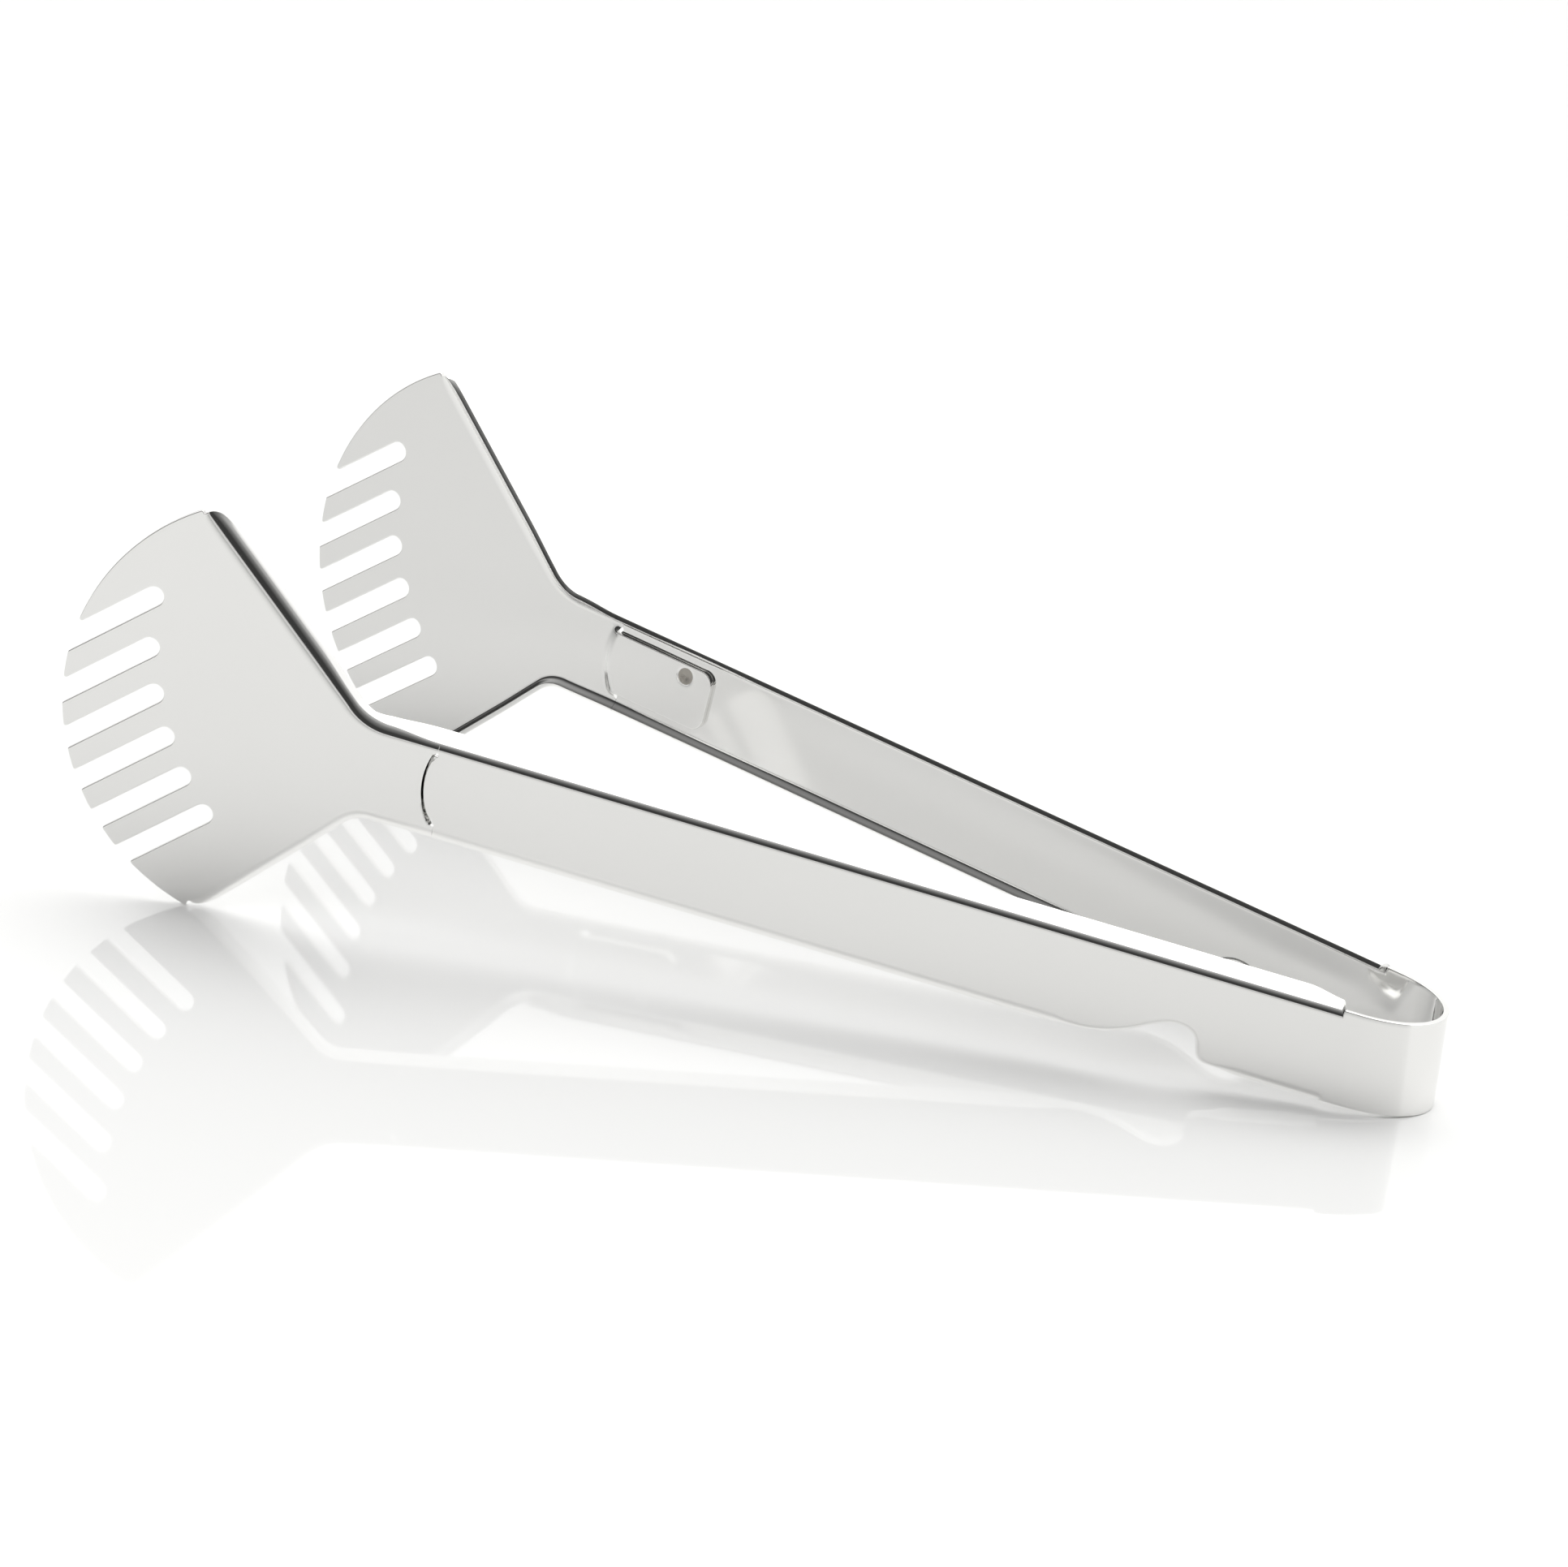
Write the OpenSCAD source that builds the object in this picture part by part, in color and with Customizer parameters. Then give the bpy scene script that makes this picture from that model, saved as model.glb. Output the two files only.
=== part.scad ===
// Spring serving tongs: one U-shaped sheet-metal strip and two slotted fan heads.
// Millimetres. The tongs lie on edge: the lower corner of each head and the
// lower edge of the bow touch the floor plane z = 0.

/* [Show] */
// Part to draw
// Roundness of the curves
facets = 48; // [24:8:96]

/* [Strip] */
// Sheet thickness of strip and heads
sheet = 1.2; // [0.8:0.1:2]
// Angle each arm opens away from the middle
half_open = 10.6; // [4:0.1:16]
// Distance from the bow axis to the outer face of an arm
bow_side = 15.8; // [8:0.1:30]
// Distance from the bow axis to the outer face of the bow end
bow_reach = 18.3; // [8:0.1:40]
// Height of the upper edge of the bow above the middle of the web
rim_up = 10.4; // [6:0.1:16]
// Depth of the lower edge of the bow below the middle of the web
rim_down = 10.6; // [6:0.1:16]

/* [Channel] */
// Half height of the flat part of the web
web_half = 8.55; // [5:0.05:14]
// Outer radius of the bend between web and flange
bend_r = 1.9; // [1.3:0.1:4]
// Angle a flange is bent through
bend_angle = 66; // [40:1:90]
// Straight part of the upper flange
flange_up = 4.4; // [1:0.1:8]
// Straight part of the lower flange
flange_down = 2.9; // [1:0.1:8]
// Start of the upper flange, measured from the bow
flange_start = 3; // [0:0.5:20]
// Length over which the upper flange grows to full depth
flange_run = 6.5; // [1:0.5:30]

/* [Notch] */
// Bow side of the hook notch
notch_start = 29.9; // [20:0.1:60]
// Head side of the hook notch
notch_end = 57; // [40:0.5:90]
// Deepest place of the notch
notch_peak = 35.5; // [24:0.5:80]
// Depth of the notch
notch_depth = 7; // [2:0.1:10]
// Depth of the turned-in lip round the notch
notch_lip = 2.4; // [1.3:0.1:5]

/* [Seam] */
// Place of the seam between arm and head
seam_at = 202.1; // [150:0.1:230]
// Radius of the rounded arm end
seam_r = 15.8; // [12:0.1:80]
// Height of the middle of that rounding above the middle of the web
seam_rise = 2; // [-3:0.1:3]
// Length of the head tab inside the arm
tab_length = 27; // [8:0.5:40]
// Half width of the tab
tab_half = 6.9; // [3:0.1:8]
// Radius of the tab corners
tab_corner = 3; // [0.5:0.1:6]
// Gap left where arm and head meet
seam_gap = 0.15; // [0.05:0.05:0.5]
// Diameter of a spot weld
weld_d = 5; // [2:0.1:8]
// Height of a spot weld above the middle of the web
weld_up = 4.2; // [-6:0.1:6]
// Distance from the seam to the spot weld
weld_back = 20.2; // [4:0.1:24]

/* [Head] */
// Radius of the toothed edge
fan_r = 48.8; // [30:0.1:60]
// Place of the middle of the toothed edge, along the arm
fan_at = 233.9; // [200:0.1:260]
// Place of the middle of the toothed edge, above the web middle
fan_up = 5.4; // [-10:0.1:10]
// Place where the upper back edge leaves the arm
neck_up = 217.9; // [205:0.1:235]
// Slope of the upper back edge
slope_up = 40.7; // [20:0.1:70]
// Place where the lower back edge leaves the arm
neck_down = 216.7; // [205:0.1:235]
// Slope of the lower back edge
slope_down = 47.4; // [20:0.1:70]
// Radius of the inside corners at the neck
neck_r = 5.6; // [4:0.1:12]
// Length of plain edge left at each back corner
ear = 1.4; // [1:0.1:8]
// How far the upper corner stands proud of the bend line
ear_out_up = 0.3; // [0:0.05:2]
// How far the lower corner stands proud of the bend line
ear_out_down = 0.9; // [0:0.05:2]

/* [Slots] */
// Slots in each head
slots = 6; // [2:1:8]
// Slot width
slot_w = 4.45; // [2:0.05:8]
// Distance from slot to slot
slot_pitch = 9.31; // [5:0.01:14]
// Slope of the slots below the arm direction
slot_slope = 43; // [0:0.5:60]
// Distance of the first slot from the fan middle, across the slots
slot_first = 36.5; // [10:0.1:45]
// Radius of the curve the slot ends lie on
slot_arc_r = 64.3; // [40:0.1:120]
// Distance of that curve's middle behind the fan middle
slot_arc_back = 37.1; // [0:0.1:90]
// Shift of that curve's middle across the slots
slot_arc_shift = -5.5; // [-20:0.1:20]

/* [Hidden] */
$fn = facets;
lap = 0.2;
hair = 0.03;
steel = [0.80, 0.80, 0.79];
steel_head = [0.86, 0.86, 0.85];
weld_grey = [0.62, 0.62, 0.60];

// the bow is part of an ellipse that the arms leave at a tangent
bow_half = sqrt(pow(bow_side, 2) - pow(bow_reach * sin(half_open), 2)) / cos(half_open);
bow_turn = atan2(bow_half, bow_reach * tan(half_open));
arm_start = -(pow(bow_reach, 2) - pow(bow_half, 2)) * sin(half_open) * cos(half_open) / bow_side;

// the two back edges of a head, as corner, direction and length to the fan edge
up_corner = [neck_up, web_half];
down_corner = [neck_down, -web_half];
// the flat plate stops just short of the bend line, inside the flange's lap
inset = lap / 2;
up_inner = up_corner + inset * [tan(slope_up / 2), -1];
down_inner = down_corner + inset * [tan(slope_down / 2), 1];
up_dir = [cos(slope_up), sin(slope_up)];
down_dir = [cos(slope_down), -sin(slope_down)];
function edge_reach(base, dir) =
    let (v = base - [fan_at, fan_up], b = v * dir) -b + sqrt(b * b - v * v + fan_r * fan_r);
up_base = up_corner + ear_out_up * [-up_dir[1], up_dir[0]];
down_base = down_corner + ear_out_down * [down_dir[1], -down_dir[0]];
up_reach = edge_reach(up_base, up_dir);
down_reach = edge_reach(down_base, down_dir);

// the lower head corners and the lower edge of the bow set how the tongs lie
foot = down_base + down_reach * down_dir;
foot_x = bow_side * sin(half_open) - foot[0] * cos(half_open);
tilt = atan2(-foot[1] - rim_down, bow_reach - foot_x);
lift = bow_reach * sin(tilt) + rim_down * cos(tilt);
fan_x = bow_side * sin(half_open) - fan_at * cos(half_open);
left_end = fan_x * cos(tilt) + fan_up * sin(tilt)
    - fan_r * sqrt(pow(cos(half_open) * cos(tilt), 2) + pow(sin(tilt), 2));
right_end = bow_reach * cos(tilt) + rim_up * sin(tilt);

// ---- frames ----------------------------------------------------------------

// the whole tongs, tipped onto head corners and bow
module seat() {
    translate([-(left_end + right_end) / 2, 0, lift]) rotate([0, tilt, 0]) children();
}

// frame of one arm: x along the arm, y inward, z up the web
module arm_frame(side) {
    mirror([0, side < 0 ? 1 : 0, 0])
        translate([bow_side * sin(half_open), bow_side * cos(half_open), 0])
            rotate([0, 0, 180 - half_open]) children();
}

// a flat shape drawn along and up the web, as a plate between two depths
module plate(from, to) {
    translate([0, to, 0]) rotate([90, 0, 0]) linear_extrude(to - from) children();
}

// a section drawn inward and up, run along the arm
module run(start, end) {
    translate([start, 0, 0]) rotate([90, 0, 90]) linear_extrude(end - start) children();
}

// frame of a web edge: origin on the bend line, z outward from the web
module upper_edge() { translate([0, 0, web_half]) children(); }
module lower_edge() { translate([0, 0, -web_half]) mirror([0, 0, 1]) children(); }

// ---- flange ----------------------------------------------------------------

function bend_arc(r) = [for (i = [0:6]) let (a = bend_angle * i / 6) [bend_r - r * cos(a), r * sin(a)]];

// section of a bent flange: x inward, y outward from the bend line; "fat" thickens the sheet on both faces
function flange_section(len, fat = 0) =
    let (outer = bend_arc(bend_r + fat), inner = bend_arc(bend_r - sheet - fat),
         tip = (len + fat) * [sin(bend_angle), cos(bend_angle)])
    concat([[-fat, -lap]], outer, [outer[6] + tip, inner[6] + tip],
           [for (i = [6:-1:0]) inner[i]], [[sheet + fat, -lap]]);

module flange(start, end, len) {
    run(start, end) polygon(flange_section(len));
}

// flange that runs from "start", turns round an inside corner at the origin, and
// runs on to "end" along the sloping edge; the turn is a hair thicker than the runs
module turned_flange(start, slope, end, len) {
    back = neck_r * tan(slope / 2);
    flange(start, lap - back, len);
    translate([-back, 0, neck_r]) rotate([90, 0, 0]) rotate([0, 0, -90])
        rotate_extrude(angle = slope)
            polygon([for (p = flange_section(len, hair)) [neck_r - p[1], -p[0]]]);
    rotate([0, -slope, 0]) difference() {
        flange(back - lap, end, len);
        translate([end, 0, 0]) mirror([1, 0, 0]) end_cut(0, 3, len);
    }
}

// block that cuts the end of a flange to a slope; it keeps what lies beyond "at"
module end_cut(at, run_length, depth) {
    translate([0, 0, -0.5]) linear_extrude(depth + bend_r + 3)
        polygon([[at - 12, sheet + 0.1], [at, sheet + 0.1],
                 [at + run_length, bend_r + depth + 1], [at - 12, bend_r + depth + 1]]);
}

// ---- strip -----------------------------------------------------------------

function bow_point(a) = [bow_reach * cos(a), bow_half * sin(a)];
function bow_normal(a) = let (v = [cos(a) / bow_reach, sin(a) / bow_half]) v / norm(v);

module bow() {
    turns = [for (i = [0:facets]) bow_turn * (2 * i / facets - 1)];
    color(steel) seat() translate([0, 0, -rim_down]) linear_extrude(rim_down + rim_up)
        polygon(concat([for (a = turns) bow_point(a)],
                       [for (i = [facets:-1:0]) bow_point(turns[i]) - sheet * bow_normal(turns[i])]));
}

// rise of the lower edge in the hook notch
function swell(t, power) = 0.5 - 0.5 * cos(180 * pow(t, power));
function notch_rise(u) = notch_depth *
    (u < notch_peak ? swell((u - notch_start) / (notch_peak - notch_start), 0.5)
                    : 1 - swell((u - notch_peak) / (notch_end - notch_peak), 0.83));

module notch_shape(grow) {
    steps = 28;
    offset(delta = grow) polygon(concat(
        [for (i = [0:steps]) let (u = notch_start + (notch_end - notch_start) * i / steps)
            [u, notch_rise(u) - rim_down]],
        [[notch_end, -rim_down - 6], [notch_start, -rim_down - 6]]));
}

module notch_lip_ring() {
    intersection() {
        difference() {
            notch_shape(sheet);
            notch_shape(0);
        }
        translate([notch_start + 1, -rim_down + 0.6]) square([notch_end - notch_start - 6, rim_down]);
    }
}

// rounded end of the arm's web, grown by "gap" to trim the head
module seam_disc(gap) {
    translate([seam_at - seam_r, seam_rise]) circle(seam_r + gap, $fn = 3 * facets);
}

// where the rounding meets the upper and the lower bend line
function seam_end(z) = seam_at - seam_r + sqrt(seam_r * seam_r - pow(z - seam_rise, 2));
up_seam = seam_end(web_half);
down_seam = seam_end(-web_half);

module arm_local() {
    difference() {
        union() {
            plate(0, sheet) difference() {
                union() {
                    translate([arm_start, -rim_down]) square([flange_start - arm_start, rim_down + rim_up]);
                    translate([flange_start - lap, -web_half])
                        square([notch_start - flange_start, 2 * web_half]);
                    translate([notch_start - 2, -rim_down])
                        square([notch_end - notch_start + 2, rim_down + web_half]);
                    intersection() {
                        translate([notch_end - lap, -web_half]) square([seam_at, 2 * web_half]);
                        union() {
                            seam_disc(0);
                            translate([notch_end - lap, -web_half]) square([seam_at - seam_r - notch_end, 2 * web_half]);
                        }
                    }
                }
                notch_shape(0);
            }
            plate(0, notch_lip) notch_lip_ring();
            upper_edge() flange(flange_start, up_seam, flange_up);
            lower_edge() {
                flange(flange_start, notch_start - 1, flange_down);
                flange(notch_end, down_seam, flange_down);
            }
        }
        upper_edge() end_cut(flange_start, flange_run, flange_up);
        lower_edge() {
            end_cut(flange_start, 4, flange_down);
            translate([notch_start - 1, 0, 0]) mirror([1, 0, 0]) end_cut(0, 4, flange_down);
            end_cut(notch_end, 4, flange_down);
        }
    }
}

module near_arm() { color(steel) seat() arm_frame(-1) arm_local(); }
module far_arm() { color(steel) seat() arm_frame(1) arm_local(); }

// ---- heads -----------------------------------------------------------------

module slot_shapes() {
    translate([fan_at, fan_up]) rotate(-slot_slope) for (i = [0:slots - 1]) {
        across = slot_first - i * slot_pitch;
        along = sqrt(pow(slot_arc_r, 2) - pow(across - slot_arc_shift, 2)) - slot_arc_back;
        translate([along, across]) {
            circle(d = slot_w);
            translate([0, -slot_w / 2]) square([fan_r, slot_w]);
        }
    }
}

// the plain ear past the end of a back flange
module ear_shape(corner, slope, reach, out) {
    translate(corner) rotate(slope) translate([reach - ear, -1]) square([ear + 4, 1 + out]);
}

// the rounding at an inside corner of the neck; it ends inside the flange's lap
module neck_fill(corner, slope) {
    back = neck_r * tan(slope / 2);
    difference() {
        polygon([corner - [back, 0], corner - [back, 1], corner + [3, -2],
                 corner + back * [cos(slope), sin(slope)] + [1, -1], corner + back * [cos(slope), sin(slope)]]);
        translate(corner + [-back, neck_r]) circle(neck_r + inset);
    }
}

module head_shape() {
    difference() {
        union() {
            intersection() {
                translate([fan_at, fan_up]) circle(fan_r, $fn = 3 * facets);
                union() {
                    polygon([up_inner, up_inner + 90 * up_dir, [fan_at + 90, 0],
                             down_inner + 90 * down_dir, down_inner]);
                    ear_shape(up_corner, slope_up, up_reach, ear_out_up);
                    mirror([0, 1]) ear_shape([neck_down, web_half], slope_down, down_reach, ear_out_down);
                }
            }
            translate([down_seam + 0.5, inset - web_half])
                square([neck_down + 3.5 - down_seam, 2 * (web_half - inset)]);
            neck_fill(up_corner, slope_up);
            mirror([0, 1]) neck_fill([neck_down, web_half], slope_down);
        }
        slot_shapes();
        seam_disc(seam_gap);
    }
}

// tab of the head that lies inside the arm
module tab_shape() {
    translate([seam_at - tab_length, 0]) {
        translate([tab_corner, -tab_half]) square([tab_length + 3 - tab_corner, 2 * tab_half]);
        translate([0, tab_corner - tab_half]) square([tab_length, 2 * (tab_half - tab_corner)]);
        for (z = [-1, 1]) translate([tab_corner, z * (tab_half - tab_corner)]) circle(tab_corner);
    }
}

module head_local() {
    plate(0, sheet) head_shape();
    // the step that lowers the tab by one sheet
    plate(sheet - lap, 2 * sheet) intersection() {
        tab_shape();
        difference() {
            seam_disc(seam_gap + sheet);
            seam_disc(seam_gap);
        }
    }
    plate(sheet, 2 * sheet) difference() {
        intersection() {
            tab_shape();
            seam_disc(seam_gap + lap);
        }
        translate([seam_at - weld_back, weld_up]) circle(d = weld_d);
    }
    upper_edge() translate([neck_up, 0, 0])
        turned_flange(up_seam + seam_gap - neck_up, slope_up, up_reach - ear, flange_up);
    lower_edge() translate([neck_down, 0, 0])
        turned_flange(down_seam + seam_gap - neck_down, slope_down, down_reach - ear, flange_down);
}

module near_head() { color(steel_head) seat() arm_frame(-1) head_local(); }
module far_head() { color(steel_head) seat() arm_frame(1) head_local(); }

// ---- spot welds ------------------------------------------------------------

module weld_local() {
    translate([seam_at - weld_back, 2 * sheet - 0.3, weld_up]) rotate([90, 0, 0])
        cylinder(d = weld_d, h = sheet - 0.3);
}

module near_weld() { color(weld_grey) seat() arm_frame(-1) weld_local(); }
module far_weld() { color(weld_grey) seat() arm_frame(1) weld_local(); }

// ---- show ------------------------------------------------------------------

bow();
near_arm();
far_arm();
near_head();
far_head();
near_weld();
far_weld();
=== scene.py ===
"""Polished steel serving tongs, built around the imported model.

The tongs are sheet metal, so strips and heads are drawn flat, as an outline along and
up the web, with a fold, a plain rounded edge or a straight cut at every point of it.
build_sheet() turns such an outline into a closed sheet and bends it into place.
Lengths are millimetres and angles degrees, with three exceptions: seat() gives metres,
the studio is laid out in metres, and the turns along the bow are radians.
"""
import math

import bmesh
import bpy
import numpy as np
from mathutils import Euler, Matrix, Vector
from mathutils.geometry import delaunay_2d_cdt


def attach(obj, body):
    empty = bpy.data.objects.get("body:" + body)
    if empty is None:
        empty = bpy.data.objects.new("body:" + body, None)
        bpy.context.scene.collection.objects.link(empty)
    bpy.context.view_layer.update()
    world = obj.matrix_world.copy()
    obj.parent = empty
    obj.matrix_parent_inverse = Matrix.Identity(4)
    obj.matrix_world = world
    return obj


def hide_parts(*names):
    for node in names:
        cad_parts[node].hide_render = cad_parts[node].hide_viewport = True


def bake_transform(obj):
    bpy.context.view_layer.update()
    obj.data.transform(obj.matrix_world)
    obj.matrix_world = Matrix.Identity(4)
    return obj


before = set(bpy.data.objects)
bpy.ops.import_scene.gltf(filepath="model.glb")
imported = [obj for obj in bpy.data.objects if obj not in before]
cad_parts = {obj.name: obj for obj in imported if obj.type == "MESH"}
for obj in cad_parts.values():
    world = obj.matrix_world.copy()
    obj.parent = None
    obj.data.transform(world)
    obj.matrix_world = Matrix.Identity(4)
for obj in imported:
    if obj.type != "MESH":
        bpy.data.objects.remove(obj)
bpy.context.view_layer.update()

MM = 0.001

# ---- driving dimensions -------------------------------------------------------

# strip and bow: the bow is a piece of an ellipse that is tangent to both arms, and
# BOW_SIDE is how far the line of each arm passes from its middle
SHEET = 1.2
HALF_OPEN = 10.6
BOW_SIDE = 15.8
BOW_REACH = 18.3
RIM_UP = 10.4
RIM_DOWN = 10.6
BOW_LEAN = 2.4

# channel section, and how the flanges rise out of the bow's plain rim
WEB_HALF = 8.55
BEND_R = 1.9
BEND_ANGLE = 66
FLANGE_UP = 4.4
DOWN_ANGLE = 45
DOWN_R = 2.5
FLANGE_DOWN = 1.4
FLANGE_START = 2.3
FLANGE_TWIST = 0.9
FLANGE_STEP = 1.2
FLANGE_RUN = 9
FLANGE_AT_START = 0.6
FLANGE_FINE = 1.4
FLANGE_SETTLED = 13

# hook notch and the lip round it; the last five lengths are handles of the notch's curves
NOTCH_START = 26.3
NOTCH_WALL = 30.5
NOTCH_SHELF = 2.7
NOTCH_PEAK = 35.5
NOTCH_END = 57
NOTCH_DEPTH = 7
LIP_R = 1.3
LIP_ANGLE = 80
LIP_LENGTH = 0.4
LIP_FADE = 5
HOOK_CORNER = 0.9
HOOK_BULGE = 0.4
HOOK_REACH = 1.7
SLOPE_START = 5
SLOPE_FINISH = 12

# seam between arm and head: narrowest in the flanges, wider in the web, and opened there
# by SEAM_WEDGE where the web runs out towards the flanges
SEAM_AT = 202.1
SEAM_R = 15.8
SEAM_RISE = 2
SEAM_GAP = 0.15
FLANGE_GAP = 0.05
SEAM_WEDGE = 0.7
WEDGE_START = 5.5
WEDGE_RUN = 1.6

# tab and the step down to it; STEP_FRONT and STEP_BACK say how far outside the seam arc
# the step starts and ends in each face of the sheet
TAB_LENGTH = 27
TAB_HALF = 6.9
TAB_CORNER = 3
TAB_CUTS = (7.2, 7.6, 8)
TAB_FADE = 1.0
TAB_ZONE = 4
TAB_PLAY = 0.02
STEP_FRONT = (0.05, 0.65)
STEP_BACK = (-0.9, 2.0)

# spot weld: a dish in the tab and a thin cap of weld metal in it
WELD_BACK = 20.2
WELD_UP = 4.2
WELD_R = 1.9
DISH_R = 2.6
DISH_DEPTH = 0.45
CAP_MIDDLE = 0.1
CAP_RIM = 0.05
CAP_ROOT = 0.12

# head: the fan edge is an arc round (FAN_AT, FAN_UP), and the back edges climb and drop
# from the neck's corners at these slopes
FAN_R = 48.8
FAN_AT = 233.9
FAN_UP = 5.4
NECK_UP = 217.9
SLOPE_UP = 40.7
NECK_DOWN = 216.7
SLOPE_DOWN = 47.4
EAR_OUT = 0.9

# rolled edge along the sloping backs of a head: it is softer than the arm's flange;
# a roll is (angle, radius, straight length, how far it starts outside the corner line)
NECK_R_UP = 15
NECK_R_DOWN = 10
ROLL_UP = (47, 5.0, 1.3, -0.7)
ROLL_DOWN = (58, 2.2, 1.2, 1.0)
ROLL_TAPER = 12
NECK_SHARE = 0.3
SLOPE_SHARE = 0.75
END_ANGLE = 0.45
END_RADIUS = 0.5
END_CURVE = 0.9
EAR_UP = 0.9
EAR_DOWN = 1.4
EAR_TIP_UP = 0.25
EAR_TIP_DOWN = 0.9
END_ROUND = 6.5

# slots: their inner ends lie on an arc of their own
SLOTS = 6
SLOT_W = 4.45
SLOT_PITCH = 9.31
SLOT_SLOPE = 43
SLOT_FIRST = 36.5
SLOT_ARC_R = 64.3
SLOT_ARC_BACK = 37.1
SLOT_ARC_SHIFT = -5.5

# rounding of sheet edges and outline corners, and the flat band inside a fold
EDGE_R = 0.15
CORNER_R = 0.45
CORNER_TURN = 25
BAND = 0.3
ARC_STEPS = 8
TIP_STEPS = 3
SHARP_ANGLE = 38

# spacing of the mesh points, in millimetres, and in degrees round the turns
BOW_STEP = 0.8
RISE_STEP = 0.14
SETTLE_STEP = 0.9
ARM_STEP = 9
LIP_STEP = 0.5
NOTCH_COUNTS = (12, 16, 26)
WEB_MARGIN = 1
WEB_STEP = 1.6
ROWS_END = 24
ROWS_STEP = 2.5
TAB_STEP = 0.8
TAB_END_STEP = 1.5
NECK_STEP = 1.5
EDGE_STEP = 2
GRID_STEP = 3
FAN_TURN = 2.2
NECK_TURN = 2.6
ROUND_TURN = 10
SLOT_TURN = 15
DISH_TURN = 15
CAP_TURN = 12


def rad(angle):
    return math.radians(angle)


def sin(angle):
    return math.sin(rad(angle))


def cos(angle):
    return math.cos(rad(angle))


def smooth(value):
    t = min(max(value, 0.0), 1.0)
    return t * t * (3 - 2 * t)


def between(value, start, end):
    """Smooth climb from 0 at start to 1 at end."""
    return smooth((value - start) / (end - start))


def mix(a, b, share):
    return a + (b - a) * share


def unit(vector):
    return vector / np.linalg.norm(vector)


def along(slope):
    """Direction of a line that climbs at this slope."""
    return np.array([cos(slope), sin(slope)])


def left_of(direction):
    return np.array([-direction[1], direction[0]])


# ---- how the tongs are bent and how they lie -----------------------------------

BOW_HALF = math.sqrt(BOW_SIDE**2 - (BOW_REACH * sin(HALF_OPEN)) ** 2) / cos(HALF_OPEN)
BOW_TURN = math.atan2(BOW_HALF, BOW_REACH * math.tan(rad(HALF_OPEN)))
ARM_START = -(BOW_REACH**2 - BOW_HALF**2) * sin(HALF_OPEN) * cos(HALF_OPEN) / BOW_SIDE

BOW_TURNS = np.linspace(0, BOW_TURN, 400)
BOW_SPEEDS = np.hypot(BOW_REACH * np.sin(BOW_TURNS), BOW_HALF * np.cos(BOW_TURNS))
BOW_LENGTHS = np.append(0, np.cumsum((BOW_SPEEDS[1:] + BOW_SPEEDS[:-1]) / 2 * np.diff(BOW_TURNS)))
APEX = ARM_START - BOW_LENGTHS[-1]

UP_SECTION = (BEND_ANGLE, BEND_R, FLANGE_UP)
DOWN_SECTION = (DOWN_ANGLE, DOWN_R, FLANGE_DOWN)
LIP_EXTENT = LIP_R * sin(LIP_ANGLE) + LIP_LENGTH * cos(LIP_ANGLE)
WELD_MIDDLE = np.array([SEAM_AT - WELD_BACK, WELD_UP])
UP_CORNER = np.array([NECK_UP, WEB_HALF])
DOWN_CORNER = np.array([NECK_DOWN, -WEB_HALF])
UP_DIR = along(SLOPE_UP)
DOWN_DIR = along(-SLOPE_DOWN)
UP_OUT = left_of(UP_DIR)
DOWN_OUT = -left_of(DOWN_DIR)
FAN_MIDDLE = np.array([FAN_AT, FAN_UP])


def edge_reach(base, direction):
    """Distance from base to the fan edge."""
    offset = base - FAN_MIDDLE
    back = offset @ direction
    return -back + math.sqrt(back**2 - offset @ offset + FAN_R**2)


UP_BASE = UP_CORNER + EAR_OUT * UP_OUT
DOWN_BASE = DOWN_CORNER + EAR_OUT * DOWN_OUT
UP_REACH = edge_reach(UP_BASE, UP_DIR)
DOWN_REACH = edge_reach(DOWN_BASE, DOWN_DIR)

FOOT = DOWN_BASE + DOWN_REACH * DOWN_DIR
FOOT_X = BOW_SIDE * sin(HALF_OPEN) - FOOT[0] * cos(HALF_OPEN)
TILT = math.degrees(math.atan2(-FOOT[1] - RIM_DOWN, BOW_REACH - FOOT_X))
LIFT = BOW_REACH * sin(TILT) + RIM_DOWN * cos(TILT)
FAN_X = BOW_SIDE * sin(HALF_OPEN) - FAN_AT * cos(HALF_OPEN)
FAN_SPREAD = FAN_R * math.hypot(cos(HALF_OPEN) * cos(TILT), sin(TILT))
LEFT_END = FAN_X * cos(TILT) + FAN_UP * sin(TILT) - FAN_SPREAD
RIGHT_END = BOW_REACH * cos(TILT) + RIM_UP * sin(TILT)


def seat(x, y, z):
    """From the tongs' own frame to where they lie, in metres."""
    shift = -(LEFT_END + RIGHT_END) / 2
    return MM * np.array([x * cos(TILT) + z * sin(TILT) + shift, y, z * cos(TILT) - x * sin(TILT) + LIFT])


def bent(side, a, z, n):
    """Place of a point at a along the strip, z up the web and n inward from its outer face.

    Along the bow the lower edge leans outward, most at the apex.
    """
    if a >= ARM_START:
        x = BOW_SIDE * sin(HALF_OPEN) - a * cos(HALF_OPEN) - n * sin(HALF_OPEN)
        y = BOW_SIDE * cos(HALF_OPEN) + a * sin(HALF_OPEN) - n * cos(HALF_OPEN)
        return seat(x, side * y, z)
    turn = np.interp(a - APEX, BOW_LENGTHS, BOW_TURNS)
    normal = unit(np.array([math.cos(turn) / BOW_REACH, math.sin(turn) / BOW_HALF]))
    fade = cos(90 * turn / BOW_TURN) ** 2
    lean = BOW_LEAN * (RIM_UP - z) / (RIM_UP + RIM_DOWN) * fade
    x = BOW_REACH * math.cos(turn) - (n - lean) * normal[0]
    y = BOW_HALF * math.sin(turn) - (n - lean) * normal[1]
    return seat(x, side * y, z + lean * math.tan(rad(TILT)))


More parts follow.
